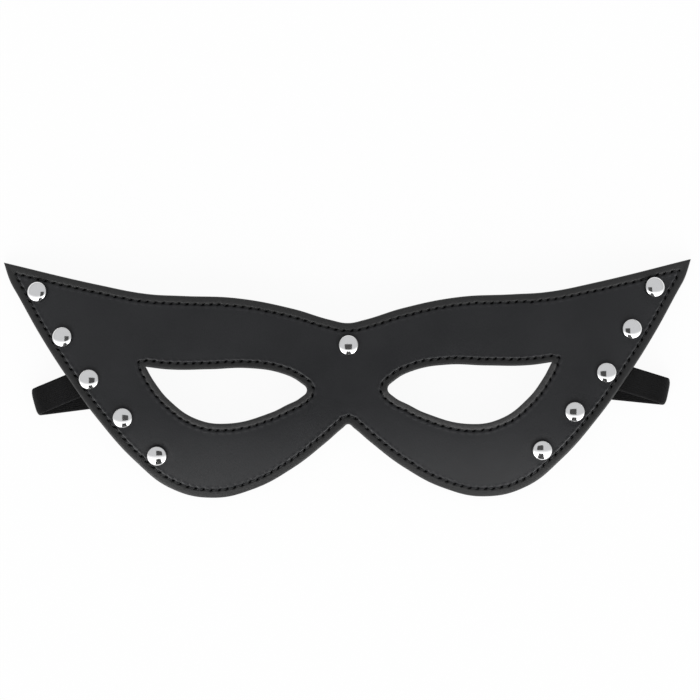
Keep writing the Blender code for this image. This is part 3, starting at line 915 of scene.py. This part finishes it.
def strap_end(end, across):
    """The middle surface of one end, from its tail out to the fold and back under itself.

    The band is flat cloth wound half a turn round a level axis that leans a little across it. A
    point is placed by how far it lies round that axis and how far along it, and the selvedges pull
    in by FOLD_CORNER where they turn. The front layer lies against the leather, and past the edge of
    the panel it eases to the height of the fold.
    """
    place = rivet_places[[rivet.name for rivet in RIVETS].index(end.rivet)]
    front, rear = math.radians(end.front_slope), math.radians(end.rear_slope)
    mean, lean = (front + rear) / 2, (front - rear) / 2
    outward = np.array((end.side * math.cos(front), -math.sin(front)))
    normal = np.array((end.side * math.cos(mean), -math.sin(mean)))
    axis = end.side * np.array((normal[1], -normal[0]))
    low = STRAP_THICKNESS / 2
    top = low + 2 * FOLD_RADIUS
    half_turn = math.pi * FOLD_RADIUS
    run = end.reach * STRAP_REACH - FOLD_RADIUS - low

    count = round((run + STRAP_TAIL + half_turn + STRAP_REAR_LENGTH) / STRAP_STEP)
    at = np.linspace(-run - STRAP_TAIL, half_turn + STRAP_REAR_LENGTH, count)[:, None]
    round_axis = at * math.cos(lean) - across * math.sin(lean)
    along_axis = at * math.sin(lean) + across * math.cos(lean)
    turn = np.clip(round_axis, 0, half_turn) / FOLD_RADIUS
    past = np.maximum(round_axis - half_turn, 0)
    bulge = FOLD_RADIUS - FOLD_CORNER * np.abs(2 * across / STRAP_WIDTH) ** FOLD_SQUARENESS
    reach = np.minimum(round_axis, 0) + bulge * np.sin(turn) - past
    plan = place + run * outward + reach[..., None] * normal + along_axis[..., None] * axis
    height = low + FOLD_RADIUS * (1 + np.cos(turn))
    against_panel = back_height(plan[..., 0], plan[..., 1]) - CAP_CLEARANCE - low
    free = ease((at + run - STRAP_UNDER_PANEL) / (run - STRAP_UNDER_PANEL))
    height = np.where(round_axis < 0, free * top + (1 - free) * against_panel, height)
    return np.concatenate([plan, height[..., None]], axis=2)


def strap_middle(across):
    """The strap's middle surface from tail to tail, at places across it given in metres."""
    ends = [strap_end(end, across) for end in STRAP_ENDS]
    centre = [strap_end(end, np.zeros(1))[:, 0, :2] for end in STRAP_ENDS]
    reach_in = round(ROUTE_STEP / STRAP_STEP)
    route = np.array(HIDDEN_ROUTE) * (HALF_WIDTH, PANEL_HEIGHT)
    leave, arrive = centre[0][[-1 - reach_in, -1]], centre[1][[-1, -1 - reach_in]]
    path, heading = smooth_path([*leave, *route * (-1, 1), *route[-2::-1], *arrive], STRAP_STEP)
    sideways = np.stack([heading[:, 1], -heading[:, 0]], axis=1)
    plan = path[:, None] + across[:, None] * sideways[:, None]
    level = np.full((*plan.shape[:2], 1), STRAP_THICKNESS / 2)
    return np.concatenate([ends[0], np.concatenate([plan, level], axis=2), ends[1][::-1]])


def strap_section():
    """Once round the strap's section: places across it, and heights from its middle.

    Both faces are rows of low round cords, and each selvedge is half an ellipse.
    """
    flat = STRAP_WIDTH / 2 - SELVEDGE
    face = np.linspace(-flat, flat, CORDS * CORD_STEPS + 1)
    ribbed = CORD_RELIEF * (1 - np.abs(np.sin(np.pi * CORDS * (face + flat) / (2 * flat))))
    face_height = STRAP_THICKNESS / 2 - ribbed
    turn = np.linspace(0.5, -0.5, SELVEDGE_STEPS)[1:-1] * np.pi
    edge_across, edge_height = flat + SELVEDGE * np.cos(turn), STRAP_THICKNESS / 2 * np.sin(turn)
    edge_height *= 1 - CORD_RELIEF / STRAP_THICKNESS
    across = np.concatenate([face, edge_across, face[::-1], -edge_across[::-1]])
    height = np.concatenate([face_height, edge_height, -face_height, edge_height[::-1]])
    return across, height


def elastic_band():
    """The strap: its section stood square to the middle surface at every step along it."""
    across, height = strap_section()
    middle = strap_middle(across)
    ahead = np.gradient(middle, axis=0)
    beside = strap_middle(across + SLOPE_STEP) - strap_middle(across - SLOPE_STEP)
    square = np.cross(ahead, beside)
    square /= np.linalg.norm(square, axis=2, keepdims=True)
    middle_column = strap_middle(np.zeros(1))[:, 0]
    gaps = np.linalg.norm(np.diff(middle_column, axis=0), axis=1)
    length = np.concatenate([[0], np.cumsum(gaps)])
    grid = middle + height[:, None] * square
    places = np.stack(np.broadcast_arrays(length[:, None], across, height), axis=-1)
    return grid, places, length[-1]


def woven_elastic():
    """Covered rubber cords held by fine cross threads: matt black with a little sheen on the ribs.

    The weave follows the strap: X is the distance along it and Y the distance across it.
    """
    material, tree, shader = new_material(
        "woven_elastic", Roughness=0.85, Specular_IOR_Level=0.2, Sheen_Weight=0.03, Sheen_Roughness=0.5
    )
    place = node(tree, "ShaderNodeAttribute", attribute_name="weave").outputs["Vector"]
    split = node(tree, "ShaderNodeSeparateXYZ", {"Vector": place})
    cords_per_metre = CORDS / (STRAP_WIDTH - 2 * SELVEDGE)
    cord = node(
        tree, "ShaderNodeMath", {0: split.outputs["Y"], 1: cords_per_metre}, operation="MULTIPLY"
    )
    odd = node(tree, "ShaderNodeMath", {0: cord.outputs[0]}, operation="FLOOR")
    shift = node(tree, "ShaderNodeMath", {0: odd.outputs[0], 1: 0.5}, operation="MULTIPLY")
    pick = node(tree, "ShaderNodeMath", {0: split.outputs["X"], 1: 1 / PICK_PITCH}, operation="MULTIPLY")
    step = node(tree, "ShaderNodeMath", {0: pick.outputs[0], 1: shift.outputs[0]}, operation="ADD")
    wave = node(tree, "ShaderNodeMath", {0: step.outputs[0], 1: 0.5}, operation="PINGPONG")
    picks = ranged(tree, wave.outputs[0], 0, 0.5, 0, 1)
    tint = blended(tree, picks, (0.0008, 0.0008, 0.0009), (0.0026, 0.0026, 0.0028))
    tree.links.new(tint, shader.inputs["Base Color"])
    tree.links.new(bump(tree, wave.outputs[0], 0.0001, 0.6), shader.inputs["Normal"])
    return material


strap_grid, strap_places, strap_length = elastic_band()
strap = skinned("woven_strap", strap_grid[None], woven_elastic())
label(strap, "weave", strap_places.reshape(-1, 3))
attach(strap, "root")
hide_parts("elastic_strap")


# The table, the light and the camera: the mask lies on its back on a pale table in a soft tent that
# is brightest in front. The camera looks straight down through an opening in the tent's top, and the
# front has a dark slit, which the table carries on towards the mask.
TABLE_SIZE = 6.0
TENT_HEIGHT = 0.30
TENT_DEPTH = 0.60
FRONT_LEAN = -0.36
OPENING_X = (-0.110, 0.120)
OPENING_Y = (-0.125, 0.055)
OPENING_LIGHT = 0.07
SLIT_X = (-0.195, 0.225)
SLIT_TOP = 0.72
SLIT_LIGHT = 0.03
TABLE_FRONT = 0.13
TABLE_GAP = 0.0005
CAMERA_HEIGHT = 1.5
SCALE_HEIGHT = 0.0035
PIXEL = 0.0003634
FRAME_PIXELS = 700
SENSOR = 0.036
CAMERA_X = 0.00078
CAMERA_Y = 0.01052
CAMERA_ROLL = -0.3

bpy.ops.mesh.primitive_plane_add(size=TABLE_SIZE, location=(0, 0, 0))
table = bpy.context.object
table.name = "table"
material, _, shader = new_material("pale_table", Roughness=0.9, IOR=1.3, Emission_Strength=0.935)
shader.inputs["Base Color"].default_value = (0.04, 0.04, 0.04, 1)
shader.inputs["Emission Color"].default_value = (1, 1, 1, 1)
table.data.materials.append(material)

world = bpy.data.worlds.new("tent")
bpy.context.scene.world = world
world.use_nodes = True
tree = world.node_tree
direction = node(tree, "ShaderNodeTexCoord").outputs["Generated"]
parts = node(tree, "ShaderNodeSeparateXYZ", {"Vector": direction})
side_walls = ranged(tree, parts.outputs["Z"], 0.15, 0.45, 1, 0)
top = blended(tree, side_walls, (0.655, 0.66, 0.67), (0.60, 0.60, 0.60))
lean = node(
    tree, "ShaderNodeVectorMath", {0: direction, 1: (0.0, -1.0, FRONT_LEAN)}, operation="DOT_PRODUCT"
).outputs["Value"]
front_light = blended(tree, ranged(tree, lean, 0.30, 0.70, 0, 1), (1.3, 1.3, 1.3), (5.6, 5.6, 5.6))
sky = blended(tree, ranged(tree, lean, 0.0, 0.30, 0, 1), top, front_light)
tree.links.new(sky, tree.nodes["Background"].inputs["Color"])


def dark_card(name, corners, light):
    """A dark opening in the tent. It shows in gloss alone, and hides nothing from the camera."""
    card = new_piece(name, np.array(corners), [np.array([[0, 1, 2, 3]])], [])
    material, _, shader = new_material(name, Roughness=1, Specular_IOR_Level=0, Emission_Strength=light)
    shader.inputs["Base Color"].default_value = (0, 0, 0, 1)
    shader.inputs["Emission Color"].default_value = (1, 1, 1, 1)
    card.data.materials.append(material)
    card.visible_camera = card.visible_diffuse = card.visible_shadow = False


left, right = OPENING_X
near, far = OPENING_Y
roof = [(left, near), (left, far), (right, far), (right, near)]
dark_card("camera_opening", [(x, y, TENT_HEIGHT) for x, y in roof], OPENING_LIGHT)
left, right = SLIT_X
wall = [(left, 0.0), (left, SLIT_TOP), (right, SLIT_TOP), (right, 0.0)]
dark_card("front_slit", [(x, -TENT_DEPTH, z) for x, z in wall], SLIT_LIGHT)
floor = [(left, -TENT_DEPTH), (left, -TABLE_FRONT), (right, -TABLE_FRONT), (right, -TENT_DEPTH)]
dark_card("slit_over_table", [(x, y, TABLE_GAP) for x, y in floor], SLIT_LIGHT)

camera_data = bpy.data.cameras.new("camera")
camera = bpy.data.objects.new("camera", camera_data)
bpy.context.scene.collection.objects.link(camera)
bpy.context.scene.camera = camera
camera.location = (CAMERA_X, CAMERA_Y, CAMERA_HEIGHT)
camera.rotation_euler = (0, 0, math.radians(CAMERA_ROLL))
camera_data.sensor_width = 1000 * SENSOR
camera_data.lens = 1000 * SENSOR * (CAMERA_HEIGHT - SCALE_HEIGHT) / (PIXEL * FRAME_PIXELS)
camera_data.clip_start, camera_data.clip_end = 0.05, 20
bpy.context.scene.view_settings.view_transform = "Standard"
